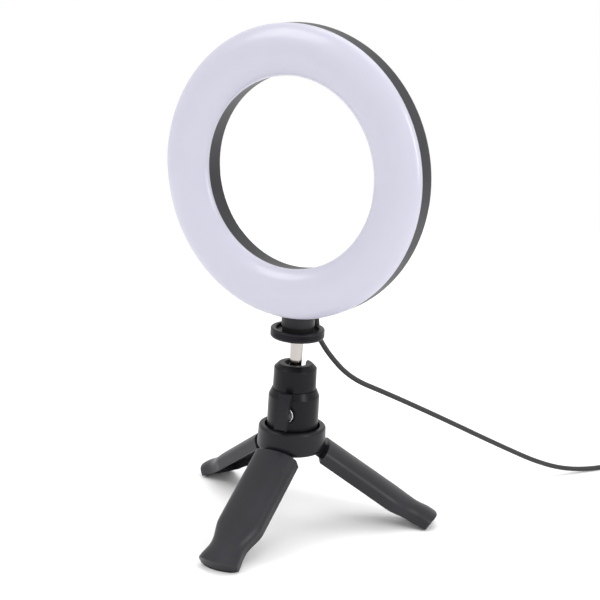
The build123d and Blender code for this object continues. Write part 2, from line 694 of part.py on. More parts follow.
def bend_radii(points):
    """A radius for each inner corner, from the shorter of its two runs."""
    radii = []
    for before, at, after in zip(points, points[1:], points[2:]):
        turn = (at - before).get_angle(after - at)
        shorter = min((at - before).length, (after - at).length)
        radii.append(CORNER_SHARE * shorter / math.tan(math.radians(turn) / 2))
    return radii


route = [start + ahead * s + Vector(0, 0, z) for s, z in CORD_ROUTE]
radii = bend_radii(route)
line = FilletPolyline(*route, radius=radii)
tube = sweep(Plane(origin=line @ 0, z_dir=line % 0).location * Circle(CORD_R), path=line)
print("bend radii", [round(r, 1) for r in radii], "tube length", round(line.length, 1))
print("tube volume ratio", round(tube.volume / (math.pi * CORD_R**2 * line.length), 4))
save("cord_tube", tube)

coil_centre = start + ahead * COIL_REACH + aside * COIL_TURN_R
coil_outer = COIL_TURN_R + CORD_R
coil_inner = coil_outer - COIL_BAND
coil = turned(
    [
        (coil_inner, 0),
        (coil_outer, 0),
        (coil_outer, COIL_HEIGHT),
        (coil_inner, COIL_HEIGHT),
    ],
    {0: COIL_ROUND, 1: COIL_ROUND, 2: COIL_ROUND, 3: COIL_ROUND},
)
coil = Pos(*coil_centre) * coil
save("cord_coil", coil)
tie = Box(
    COIL_BAND + 2 * TIE_THICKNESS,
    TIE_WIDTH,
    COIL_HEIGHT + TIE_THICKNESS,
    align=(Align.CENTER, Align.CENTER, Align.MIN),
)
tie = fillet(tie.faces().sort_by(Axis.Z)[-1].edges().filter_by(Axis.Y), COIL_ROUND)
tie = Pos(*coil_centre) * Rot(0, 0, 135) * Pos(coil_outer - COIL_BAND / 2, 0, 0) * tie
save("coil_tie", tie - coil)

# ---- control with the USB plug, lying beside the coil ---------------------------------------
# Drawn from the lead's end along +X, then laid along -Y.
lead_z = CASE_HEIGHT / 2
lead_start = Vector(coil_centre.X + COIL_TURN_R, coil_centre.Y - COIL_BAND, 0)
CASE_PLACE = Pos(lead_start.X, lead_start.Y - END_LEAD, 0) * Rot(0, 0, -90)


def along_x(radius, low, high, z=0.0):
    return Pos(low, 0, z) * Rot(0, 90, 0) * Cylinder(
        radius, high - low, align=(Align.CENTER, Align.CENTER, Align.MIN)
    )


lead = along_x(CORD_R, -END_LEAD, CASE_WALL, lead_z)
save("cord_end", CASE_PLACE * lead)
boot = Pos(0, 0, lead_z) * Rot(0, -90, 0) * Cone(
    BOOT_R, BOOT_TIP_R, BOOT_LENGTH, align=(Align.CENTER, Align.CENTER, Align.MIN)
)
save("cord_boot", CASE_PLACE * (boot - lead))

case = Box(CASE_LENGTH, CASE_WIDTH, CASE_HEIGHT, align=(Align.MIN, Align.CENTER, Align.MIN))
case = fillet(case.edges().filter_by(Axis.Z), CASE_CORNER)
case = fillet(case.faces().sort_by(Axis.Z)[-1].edges(), CASE_EDGE)
case = fillet(case.faces().sort_by(Axis.Z)[0].edges(), CASE_EDGE)
split = CASE_BOARD_Z + CASE_BOARD
room = (CASE_LENGTH - 2 * CASE_WALL - USB_INSIDE, CASE_WIDTH - 2 * CASE_WALL)


def cavity(shrink, low, high):
    return Pos(CASE_WALL + shrink, 0, low) * Box(
        room[0] - 2 * shrink, room[1] - 2 * shrink, high - low,
        align=(Align.MIN, Align.CENTER, Align.MIN),
    )


usb_z = CASE_HEIGHT / 2
usb_start = CASE_LENGTH - USB_INSIDE
usb_block = Pos(usb_start, 0, usb_z) * Box(
    USB_LENGTH, USB_WIDTH, USB_HEIGHT, align=(Align.MIN, Align.CENTER, Align.CENTER)
)
ledge_gap = BOARD_LEDGE + FIT
lower = case - Pos(0, 0, split) * Box(
    3 * CASE_LENGTH, 2 * CASE_WIDTH, CASE_HEIGHT, align=(Align.CENTER, Align.CENTER, Align.MIN)
)
lower -= cavity(ledge_gap, CASE_WALL, CASE_BOARD_Z + 1) + cavity(0, CASE_BOARD_Z, split + 1)
lower -= usb_block + along_x(CORD_R, -1, CASE_WALL + 1, lead_z)
upper = case - Box(
    3 * CASE_LENGTH, 2 * CASE_WIDTH, split, align=(Align.CENTER, Align.CENTER, Align.MIN)
)
upper -= cavity(ledge_gap, split - 1, CASE_HEIGHT - CASE_WALL)
upper -= usb_block + along_x(CORD_R, -1, CASE_WALL + 1, lead_z)
button_names = ("button_power", "button_brighter", "button_dimmer")
spots = [BUTTON_FIRST + BUTTON_STEP * n for n in range(len(button_names))]
for spot in spots:
    upper -= Pos(spot, 0, 0) * bar(BUTTON_R + BUTTON_GAP, split, CASE_HEIGHT + 1)
save("control_lower", CASE_PLACE * lower)
save("control_upper", CASE_PLACE * upper)
board = Pos(CASE_WALL + FIT, 0, CASE_BOARD_Z) * Box(
    room[0] - 2 * FIT, room[1] - 2 * FIT, CASE_BOARD, align=(Align.MIN, Align.CENTER, Align.MIN)
)
save("control_board", CASE_PLACE * board)

stem_low = split + BUTTON_TRAVEL + BUTTON_GAP
flange_top = CASE_HEIGHT - CASE_WALL - 0.05
button = turned(
    [
        (0, stem_low),
        (BUTTON_R - 0.8, stem_low),
        (BUTTON_R - 0.8, flange_top - BUTTON_FLANGE),
        (BUTTON_R + 0.9, flange_top - BUTTON_FLANGE),
        (BUTTON_R + 0.9, flange_top),
        (BUTTON_R, flange_top),
        (BUTTON_R, CASE_HEIGHT + BUTTON_STAND),
        (0, CASE_HEIGHT + BUTTON_STAND),
    ],
    {6: 0.6},
)
for name, spot in zip(button_names, spots):
    save(name, CASE_PLACE * Pos(spot, 0, 0) * button)

inner = Pos(usb_start - 1, 0, usb_z) * Box(
    USB_LENGTH + 2,
    USB_WIDTH - 2 * USB_SHEET,
    USB_HEIGHT - 2 * USB_SHEET,
    align=(Align.MIN, Align.CENTER, Align.CENTER),
)
save("usb_shell", CASE_PLACE * (usb_block - inner))
tongue_width = USB_WIDTH - 2 * USB_SHEET - 2 * TONGUE_SIDE
usb_core = Pos(usb_start, 0, usb_z) * Box(
    USB_INSIDE + 1.5,
    USB_WIDTH - 2 * USB_SHEET,
    USB_HEIGHT - 2 * USB_SHEET,
    align=(Align.MIN, Align.CENTER, Align.CENTER),
)
usb_core += Pos(usb_start, 0, usb_z + USB_HEIGHT / 2 - USB_SHEET) * Box(
    USB_LENGTH - 0.6, tongue_width, TONGUE_HEIGHT, align=(Align.MIN, Align.CENTER, Align.MAX)
)
save("usb_tongue", CASE_PLACE * usb_core)

print("coil centre", coil_centre, "case from", lead_start.Y - END_LEAD)
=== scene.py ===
"""Studio scene of a small ring light on a ball head and a folding table tripod, with its USB lead.

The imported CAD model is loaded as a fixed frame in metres. Each sub-assembly has a class that dresses
its CAD nodes or stands finer geometry in for them, and every finish is procedural.
"""

import logging
import math
from dataclasses import dataclass, field
from enum import Enum

import bpy
from mathutils import Matrix, Vector


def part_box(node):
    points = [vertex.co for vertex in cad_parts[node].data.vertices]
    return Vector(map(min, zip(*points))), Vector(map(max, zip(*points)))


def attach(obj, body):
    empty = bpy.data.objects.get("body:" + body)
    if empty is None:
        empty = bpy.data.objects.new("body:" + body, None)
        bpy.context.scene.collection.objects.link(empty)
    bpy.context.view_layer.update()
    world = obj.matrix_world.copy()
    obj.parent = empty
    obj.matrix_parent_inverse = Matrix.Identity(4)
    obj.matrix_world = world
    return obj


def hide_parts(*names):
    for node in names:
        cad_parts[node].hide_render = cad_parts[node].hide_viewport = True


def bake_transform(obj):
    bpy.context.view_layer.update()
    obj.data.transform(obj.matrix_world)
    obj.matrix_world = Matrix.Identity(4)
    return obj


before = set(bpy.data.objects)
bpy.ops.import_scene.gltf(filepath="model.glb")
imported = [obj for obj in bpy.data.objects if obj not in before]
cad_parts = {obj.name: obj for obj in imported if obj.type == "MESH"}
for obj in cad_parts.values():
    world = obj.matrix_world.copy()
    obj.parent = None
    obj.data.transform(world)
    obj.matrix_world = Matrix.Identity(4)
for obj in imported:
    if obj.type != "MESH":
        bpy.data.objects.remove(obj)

logging.basicConfig(level=logging.INFO, format="%(message)s")
log = logging.getLogger("ring_light")


class Body(Enum):
    """Bodies of the CAD model that pieces ride on."""

    BASE = "head_base"
    LIGHT = "light_head"
    WHEEL = "lock_wheel"
    LEVER = "lock_lever"
    HUB = "tripod_hub"


# ---- finishes ------------------------------------------------------------------------------
@dataclass(frozen=True)
class Finish:
    """A procedural surface.

    Attributes:
        name: The material's name.
        colour: Base colour, linear RGB.
        roughness: Mean roughness.
        metallic: 1 for metals.
        mottle: Share by which the colour wanders over the surface.
        uneven: Amount by which the roughness wanders.
        grain: Size of the surface grain in metres.
        relief: Depth of the grain in metres.
        coat: Weight of a clear coat.
        subsurface: Weight of light scattered below the surface.
        emission: Strength of its own light.
        stretch: Scale of the grain along X, Y and Z.
        specular: Strength of the plain surface reflection.
    """

    name: str
    colour: tuple
    roughness: float
    metallic: float = 0.0
    mottle: float = 0.06
    uneven: float = 0.08
    grain: float = 0.0004
    relief: float = 0.00001
    coat: float = 0.0
    subsurface: float = 0.0
    emission: float = 0.0
    stretch: tuple = (1.0, 1.0, 1.0)
    specular: float = 0.5

    def material(self) -> bpy.types.Material:
        """Build the node material, or return it if it has been built.

        Returns:
            The material.
        """
        found = bpy.data.materials.get(self.name)
        if found:
            return found
        material = bpy.data.materials.new(self.name)
        material.use_nodes = True
        tree = material.node_tree
        shader = tree.nodes["Principled BSDF"]
        shader.inputs["Metallic"].default_value = self.metallic
        shader.inputs["Specular IOR Level"].default_value = self.specular
        shader.inputs["Coat Weight"].default_value = self.coat
        shader.inputs["Coat Roughness"].default_value = 0.12
        shader.inputs["Subsurface Weight"].default_value = self.subsurface
        shader.inputs["Subsurface Radius"].default_value = (0.004, 0.004, 0.005)
        shader.inputs["Subsurface Scale"].default_value = 1.0
        if self.emission:
            shader.inputs["Emission Color"].default_value = (*self.colour, 1)
            shader.inputs["Emission Strength"].default_value = self.emission
        place = tree.nodes.new("ShaderNodeTexCoord")
        scaled = tree.nodes.new("ShaderNodeMapping")
        scaled.inputs["Scale"].default_value = self.stretch
        tree.links.new(place.outputs["Object"], scaled.inputs["Vector"])
        self._colour(tree, shader, scaled)
        self._roughness(tree, shader, scaled)
        self._bump(tree, shader, scaled)
        return material

    def _noise(self, tree, scaled, scale: float, detail: float):
        """A noise texture on the object's own coordinates."""
        noise = tree.nodes.new("ShaderNodeTexNoise")
        noise.inputs["Scale"].default_value = scale
        noise.inputs["Detail"].default_value = detail
        tree.links.new(scaled.outputs["Vector"], noise.inputs["Vector"])
        return noise

    def _colour(self, tree, shader, scaled) -> None:
        """Let the colour wander a little over broad patches."""
        noise = self._noise(tree, scaled, 38.0, 3.0)
        ramp = tree.nodes.new("ShaderNodeValToRGB")
        dark = tuple(c * (1 - self.mottle) for c in self.colour)
        light = tuple(min(1.0, c * (1 + self.mottle)) for c in self.colour)
        ramp.color_ramp.elements[0].position = 0.3
        ramp.color_ramp.elements[0].color = (*dark, 1)
        ramp.color_ramp.elements[1].position = 0.7
        ramp.color_ramp.elements[1].color = (*light, 1)
        tree.links.new(noise.outputs["Fac"], ramp.inputs["Fac"])
        tree.links.new(ramp.outputs["Color"], shader.inputs["Base Color"])

    def _roughness(self, tree, shader, scaled) -> None:
        """Let the roughness wander, as handling and moulding leave it."""
        noise = self._noise(tree, scaled, 90.0, 5.0)
        spread = tree.nodes.new("ShaderNodeMapRange")
        spread.inputs["To Min"].default_value = max(0.02, self.roughness - self.uneven)
        spread.inputs["To Max"].default_value = min(1.0, self.roughness + self.uneven)
        tree.links.new(noise.outputs["Fac"], spread.inputs["Value"])
        tree.links.new(spread.outputs["Result"], shader.inputs["Roughness"])

    def _bump(self, tree, shader, scaled) -> None:
        """Fine relief of the surface."""
        noise = self._noise(tree, scaled, 1.0 / self.grain, 2.0)
        bump = tree.nodes.new("ShaderNodeBump")
        bump.inputs["Strength"].default_value = 0.6
        bump.inputs["Distance"].default_value = self.relief
        tree.links.new(noise.outputs["Fac"], bump.inputs["Height"])
        tree.links.new(bump.outputs["Normal"], shader.inputs["Normal"])


MILKY = Finish("milky_diffuser", (0.475, 0.470, 0.555), 0.30, mottle=0.01, uneven=0.05, grain=0.002,
               relief=0.000004, coat=0.3, subsurface=0.15)
HOUSING = Finish("housing_satin", (0.018, 0.018, 0.021), 0.42, mottle=0.12, grain=0.00035,
                 relief=0.00002, specular=0.25)
BLACK = Finish("black_moulding", (0.009, 0.008, 0.011), 0.34, mottle=0.15, grain=0.0004,
               relief=0.000014, specular=0.2)
HEAD = Finish("head_moulding", (0.004, 0.0036, 0.0055), 0.32, mottle=0.15, grain=0.0004,
              relief=0.000014, specular=0.16)
LEG = Finish("leg_moulding", (0.014, 0.013, 0.017), 0.42, mottle=0.2, grain=0.0005,
             relief=0.00002, specular=0.3)
RUBBER = Finish("soft_rubber", (0.012, 0.012, 0.012), 0.75, mottle=0.2, grain=0.0003,
                relief=0.00003, specular=0.2)
JACKET = Finish("cord_jacket", (0.008, 0.008, 0.009), 0.40, mottle=0.15, grain=0.0006,
                relief=0.00001, specular=0.2)
NICKEL = Finish("polished_nickel", (0.44, 0.41, 0.39), 0.13, metallic=1.0, mottle=0.05,
                uneven=0.05, grain=0.0006, relief=0.000003, stretch=(1.0, 1.0, 0.1))
STEEL = Finish("zinc_steel", (0.50, 0.51, 0.53), 0.24, metallic=1.0, mottle=0.08, uneven=0.1,
               grain=0.0005, relief=0.000006, stretch=(1.0, 0.2, 1.0))
BRASS = Finish("insert_brass", (0.72, 0.52, 0.22), 0.3, metallic=1.0, mottle=0.1)
BOARD = Finish("white_board", (0.80, 0.80, 0.77), 0.45, mottle=0.03)
GREEN = Finish("green_board", (0.02, 0.14, 0.05), 0.35, mottle=0.15, coat=0.3)
WARM = Finish("warm_chip", (0.85, 0.48, 0.06), 0.3, coat=0.4)
COOL = Finish("cool_chip", (0.85, 0.72, 0.2), 0.3, coat=0.4)
WHITE = Finish("white_moulding", (0.78, 0.78, 0.76), 0.4, mottle=0.03)
KEY = Finish("key_grey", (0.16, 0.16, 0.17), 0.5, mottle=0.08, grain=0.0003, relief=0.00002)
PRINT = Finish("pad_print", (0.75, 0.75, 0.75), 0.6, mottle=0.02)


# ---- helpers -------------------------------------------------------------------------------
def middle(node: str) -> Vector:
    """Centre of a CAD node's box.

    Args:
        node: The CAD node's name.

    Returns:
        The centre in metres.
    """
    low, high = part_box(node)
    return (low + high) / 2


def dress(node: str, finish: Finish, bevel: float = 0.0, angle: float = 32.0) -> None:
    """Give a CAD node its finish, smooth shading and softened edges.

    Args:
        node: The CAD node's name.
        finish: Its surface.
        bevel: Width of its edge rounding in metres, or 0 for none.
        angle: Edges sharper than this many degrees are kept and bevelled.
    """
    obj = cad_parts[node]
    material = finish.material()
    if not obj.material_slots:
        obj.data.materials.append(material)
    for slot in obj.material_slots:
        slot.material = material
    weld = obj.modifiers.new("weld", "WELD")
    weld.merge_threshold = 2e-6
    if bevel:
        edge = obj.modifiers.new("edge", "BEVEL")
        edge.width = bevel
        edge.segments = 3
        edge.limit_method = "ANGLE"
        edge.angle_limit = math.radians(angle)
        edge.harden_normals = False
    smooth_mesh(obj.data, angle)
    if bevel:
        even = obj.modifiers.new("even", "WEIGHTED_NORMAL")
        even.keep_sharp = False
    log.info("dressed %s as %s", node, finish.name)


def smooth_mesh(mesh: bpy.types.Mesh, angle: float = 32.0) -> None:
    """Shade a mesh smooth, with edges above an angle kept sharp.

    Args:
        mesh: The mesh.
        angle: The angle in degrees.
    """
    if mesh.has_custom_normals:
        mesh.attributes.remove(mesh.attributes["custom_normal"])
    mesh.shade_smooth()
    mesh.set_sharp_from_angle(angle=math.radians(angle))


def add_mesh(name: str, points: list, faces: list, finish: Finish, angle: float = 32.0):
    """New mesh object with a finish.

    Args:
        name: The piece's name.
        points: Vertices in metres.
        faces: Faces as tuples of vertex numbers.
        finish: Its surface.
        angle: Edges sharper than this stay sharp.

    Returns:
        The object.
    """
    mesh = bpy.data.meshes.new(name)
    mesh.from_pydata([tuple(p) for p in points], [], faces)
    mesh.validate()
    mesh.update()
    smooth_mesh(mesh, angle)
    mesh.materials.append(finish.material())
    obj = bpy.data.objects.new(name, mesh)
    bpy.context.scene.collection.objects.link(obj)
    log.info("made %s with %d faces", name, len(faces))
    return obj


def lathe(name: str, outline: list, place: Matrix, finish: Finish, turns: int = 128,
          angle: float = 32.0):
    """Body of revolution about the local Z axis.

    Args:
        name: The piece's name.
        outline: Closed outline as (radius, height) pairs, in metres.
        place: Where the local axes stand.
        finish: Its surface.
        turns: Number of segments round the axis.
        angle: Edges sharper than this stay sharp.

    Returns:
        The object.
    """
    count = len(outline)
    points = []
    for step in range(turns):
        bearing = 2 * math.pi * step / turns
        for radius, height in outline:
            local = Vector((radius * math.cos(bearing), radius * math.sin(bearing), height))
            points.append(place @ local)
    faces = []
    for step in range(turns):
        here, there = step * count, (step + 1) % turns * count
        for n in range(count):
            after = (n + 1) % count
            faces.append((here + n, there + n, there + after, here + after))
    return add_mesh(name, points, faces, finish, angle)


def arc(centre: tuple, radii: tuple, first: float, last: float, steps: int) -> list:
    """Points on an elliptical arc in the outline's plane.

    Args:
        centre: Its centre.
        radii: Its two half axes.
        first: First angle in degrees.
        last: Last angle in degrees.
        steps: Number of steps.

    Returns:
        The points, both ends included.
    """
    points = []
    for n in range(steps + 1):
        a = math.radians(first + (last - first) * n / steps)
        points.append((centre[0] + radii[0] * math.cos(a), centre[1] + radii[1] * math.sin(a)))
    return points


def sweep(name: str, path: list, radius: float, finish: Finish, sides: int = 20):
    """Round tube along a path, with its ends closed.

    Args:
        name: The piece's name.
        path: Centre line points.
        radius: The tube's radius.
        finish: Its surface.
        sides: Number of faces round it.

    Returns:
        The object.
    """
    points, faces = [], []
    across = None
    for n, here in enumerate(path):
        along = (path[min(n + 1, len(path) - 1)] - path[max(n - 1, 0)]).normalized()
        if across is None:
            across = along.orthogonal().normalized()
        across = (across - along * across.dot(along)).normalized()
        other = along.cross(across)
        for k in range(sides):
            a = 2 * math.pi * k / sides
            points.append(here + across * radius * math.cos(a) + other * radius * math.sin(a))
    for n in range(len(path) - 1):
        for k in range(sides):
            after = (k + 1) % sides
            low, high = n * sides, (n + 1) * sides
            faces.append((low + k, low + after, high + after, high + k))
    faces.append(tuple(reversed(range(sides))))
    faces.append(tuple((len(path) - 1) * sides + k for k in range(sides)))
    return add_mesh(name, points, faces, finish, 60.0)


def nurbs_line(points: list, resolution: int = 8) -> list:
    """Points along a smooth NURBS spline with the given control points.

    Args:
        points: Control points.
        resolution: Steps per control point.

    Returns:
        The line's points in order.
    """
    curve = bpy.data.curves.new("route", "CURVE")
    curve.dimensions = "3D"
    spline = curve.splines.new("NURBS")
    spline.points.add(len(points) - 1)
    for control, point in zip(spline.points, points):
        control.co = (*point, 1)
    spline.order_u = 3
    spline.use_endpoint_u = True
    spline.resolution_u = resolution
    holder = bpy.data.objects.new("route", curve)
    mesh = bpy.data.meshes.new_from_object(holder)
    line = [v.co.copy() for v in mesh.vertices]
    bpy.data.objects.remove(holder)
    bpy.data.meshes.remove(mesh)
    return line


# ---- camera, light and floor -----------------------------------------------------------------
@dataclass(frozen=True)
class CameraPlan:
    """Where the camera stands and how it is turned.

    Attributes:
        position: Its place in metres.
        azimuth: Degrees to the object's right of looking along +Y.
        elevation: Degrees it looks down.
        roll: Degrees it is rolled.
        lens: Focal length in mm on a 36 mm sensor.
        shift: Lens shift across and up, as shares of the picture's width.
    """

    position: tuple = (0.41263, -0.68740, 0.34474)
    azimuth: float = 30.53
    elevation: float = 14.56
    roll: float = 3.20
    lens: float = 90.06
    shift: tuple = (0.0053, -0.0027)

    def build(self) -> None:
        """Make the scene's camera."""
        turn, dip, roll = (math.radians(a) for a in (self.azimuth, self.elevation, self.roll))
        right = Vector((math.cos(turn), math.sin(turn), 0))
        back = Vector((math.sin(turn) * math.cos(dip), -math.cos(turn) * math.cos(dip),
                       math.sin(dip)))
        up = back.cross(right)
        right, up = (right * math.cos(roll) + up * math.sin(roll),
                     up * math.cos(roll) - right * math.sin(roll))
        data = bpy.data.cameras.new("camera")
        data.lens = self.lens
        data.sensor_width = 36.0
        data.shift_x, data.shift_y = self.shift
        data.clip_start = 0.01
        data.clip_end = 20.0
        camera = bpy.data.objects.new("camera", data)
        turned = Matrix((right, up, back)).transposed().to_4x4()
        camera.matrix_world = Matrix.Translation(self.position) @ turned
        bpy.context.scene.collection.objects.link(camera)
        bpy.context.scene.camera = camera
        log.info("camera at %s", self.position)


@dataclass(frozen=True)
class SoftBox:
    """A rectangular studio light.

    Attributes:
        name: Its name.
        place: Its position in metres.
        aim: The point it faces.
        size: Its width and height in metres.
        power: Its power in watts.
    """

    name: str
    place: tuple
    aim: tuple
    size: tuple
    power: float

    def build(self) -> None:
        """Make the light."""
        data = bpy.data.lights.new(self.name, "AREA")
        data.shape = "RECTANGLE"
        data.size, data.size_y = self.size
        data.energy = self.power
        light = bpy.data.objects.new(self.name, data)
        toward = Vector(self.aim) - Vector(self.place)
        light.rotation_euler = toward.to_track_quat("-Z", "Y").to_euler()
        light.location = self.place
        bpy.context.scene.collection.objects.link(light)
        log.info("light %s of %.0f W", self.name, self.power)


@dataclass(frozen=True)
class Studio:
    """White studio: world, soft boxes and a pale floor.

    Attributes:
        ambient: Strength of the light from all round.
        floor_colour: The floor's colour.
        floor_half: Half the floor's width in metres.
        boxes: The soft boxes.
    """

    ambient: float = 1.0
    floor_colour: tuple = (0.97, 0.97, 0.97)
    floor_half: float = 0.95
    boxes: tuple = (
        SoftBox("key", (-0.9, -1.1, 1.3), (0.0, 0.0, 0.15), (0.9, 0.9), 9.0),
        SoftBox("side", (1.4, -0.2, 0.7), (0.0, 0.0, 0.15), (0.25, 1.0), 8.0),
        SoftBox("top", (0.1, 0.3, 1.6), (0.0, 0.0, 0.1), (1.2, 1.2), 7.0),
    )

    def build(self) -> None:
        """Make the world, the lights and the floor."""
        for box in self.boxes:
            box.build()
        self._world()
        self._floor()
        bpy.context.scene.view_settings.view_transform = "Standard"

    def _world(self) -> None:
        """White to the camera and in reflections; as a light it has the ambient strength."""
        world = bpy.data.worlds.new("studio")
        world.use_nodes = True
        tree = world.node_tree
        tree.nodes.clear()
        ambient = tree.nodes.new("ShaderNodeBackground")
        ambient.inputs["Color"].default_value = (1, 1, 1, 1)
        ambient.inputs["Strength"].default_value = self.ambient
        white = tree.nodes.new("ShaderNodeBackground")
        white.inputs["Color"].default_value = (1, 1, 1, 1)
        white.inputs["Strength"].default_value = 1.0
        rays = tree.nodes.new("ShaderNodeLightPath")
        both = tree.nodes.new("ShaderNodeMath")
        both.operation = "ADD"
        tree.links.new(rays.outputs["Is Camera Ray"], both.inputs[0])
        tree.links.new(rays.outputs["Is Glossy Ray"], both.inputs[1])
        any_ray = tree.nodes.new("ShaderNodeMath")
        any_ray.operation = "ADD"
        any_ray.use_clamp = True
        tree.links.new(both.outputs["Value"], any_ray.inputs[0])
        tree.links.new(rays.outputs["Is Transmission Ray"], any_ray.inputs[1])
        mix = tree.nodes.new("ShaderNodeMixShader")
        tree.links.new(any_ray.outputs["Value"], mix.inputs["Fac"])
        tree.links.new(ambient.outputs["Background"], mix.inputs[1])
        tree.links.new(white.outputs["Background"], mix.inputs[2])
        out = tree.nodes.new("ShaderNodeOutputWorld")
        tree.links.new(mix.outputs["Shader"], out.inputs["Surface"])
        bpy.context.scene.world = world

    def _floor(self) -> None:
        """A pale floor, small enough to be brightly lit right to its edges."""
        half = self.floor_half
        corners = [(-half, -half, 0), (half, -half, 0), (half, half, 0), (-half, half, 0)]
        finish = Finish("floor", self.floor_colour, 0.85, mottle=0.0, uneven=0.02, relief=0.0)
        floor = add_mesh("floor", corners, [(0, 1, 2, 3)], finish)


# ---- the lead ------------------------------------------------------------------------------
@dataclass(frozen=True)
class LeadPlan:
    """The USB lead's route, and the coil put away beside the object.

    Attributes:
        axis: The tripod's axis in X and Y.
        gland: The gland, from the axis.
        heading: The way the lead leaves, degrees from +X towards +Y.
        route: Along the heading from the gland, and height, for each point.
        radius: The lead's radius.
        reach: Where the outermost turn begins, along the heading.
        turn_r: Centre line radius of the outermost turn.
        pitch: Distance between turns side by side.
        rise: Distance between layers.
        layers: Number of layers, an even number.
        whole_turns: Full turns before the lead comes off the coil.
        step: Degrees between the coil's control points.
        end_z: Height at which it enters the control.
    """

    axis: tuple = (0.0003, 0.0146)
    gland: tuple = (0.0006, 0.0190)
    heading: float = 57.0
    route: tuple = (
        (0.0, 0.127),
        (0.0, 0.111),
        (0.0084, 0.0970),
        (0.0250, 0.0796),
        (0.0500, 0.0682),
        (0.0900, 0.0485),
        (0.1320, 0.0270),
        (0.1700, 0.0085),
        (0.1980, 0.0016),
        (0.2300, 0.0016),
    )
    radius: float = 0.0015
    reach: float = 0.248
    turn_r: float = 0.0212
    pitch: float = 0.00306
    rise: float = 0.0029
    layers: int = 4
    whole_turns: int = 9
    step: float = 15.0
    end_z: float = 0.0050


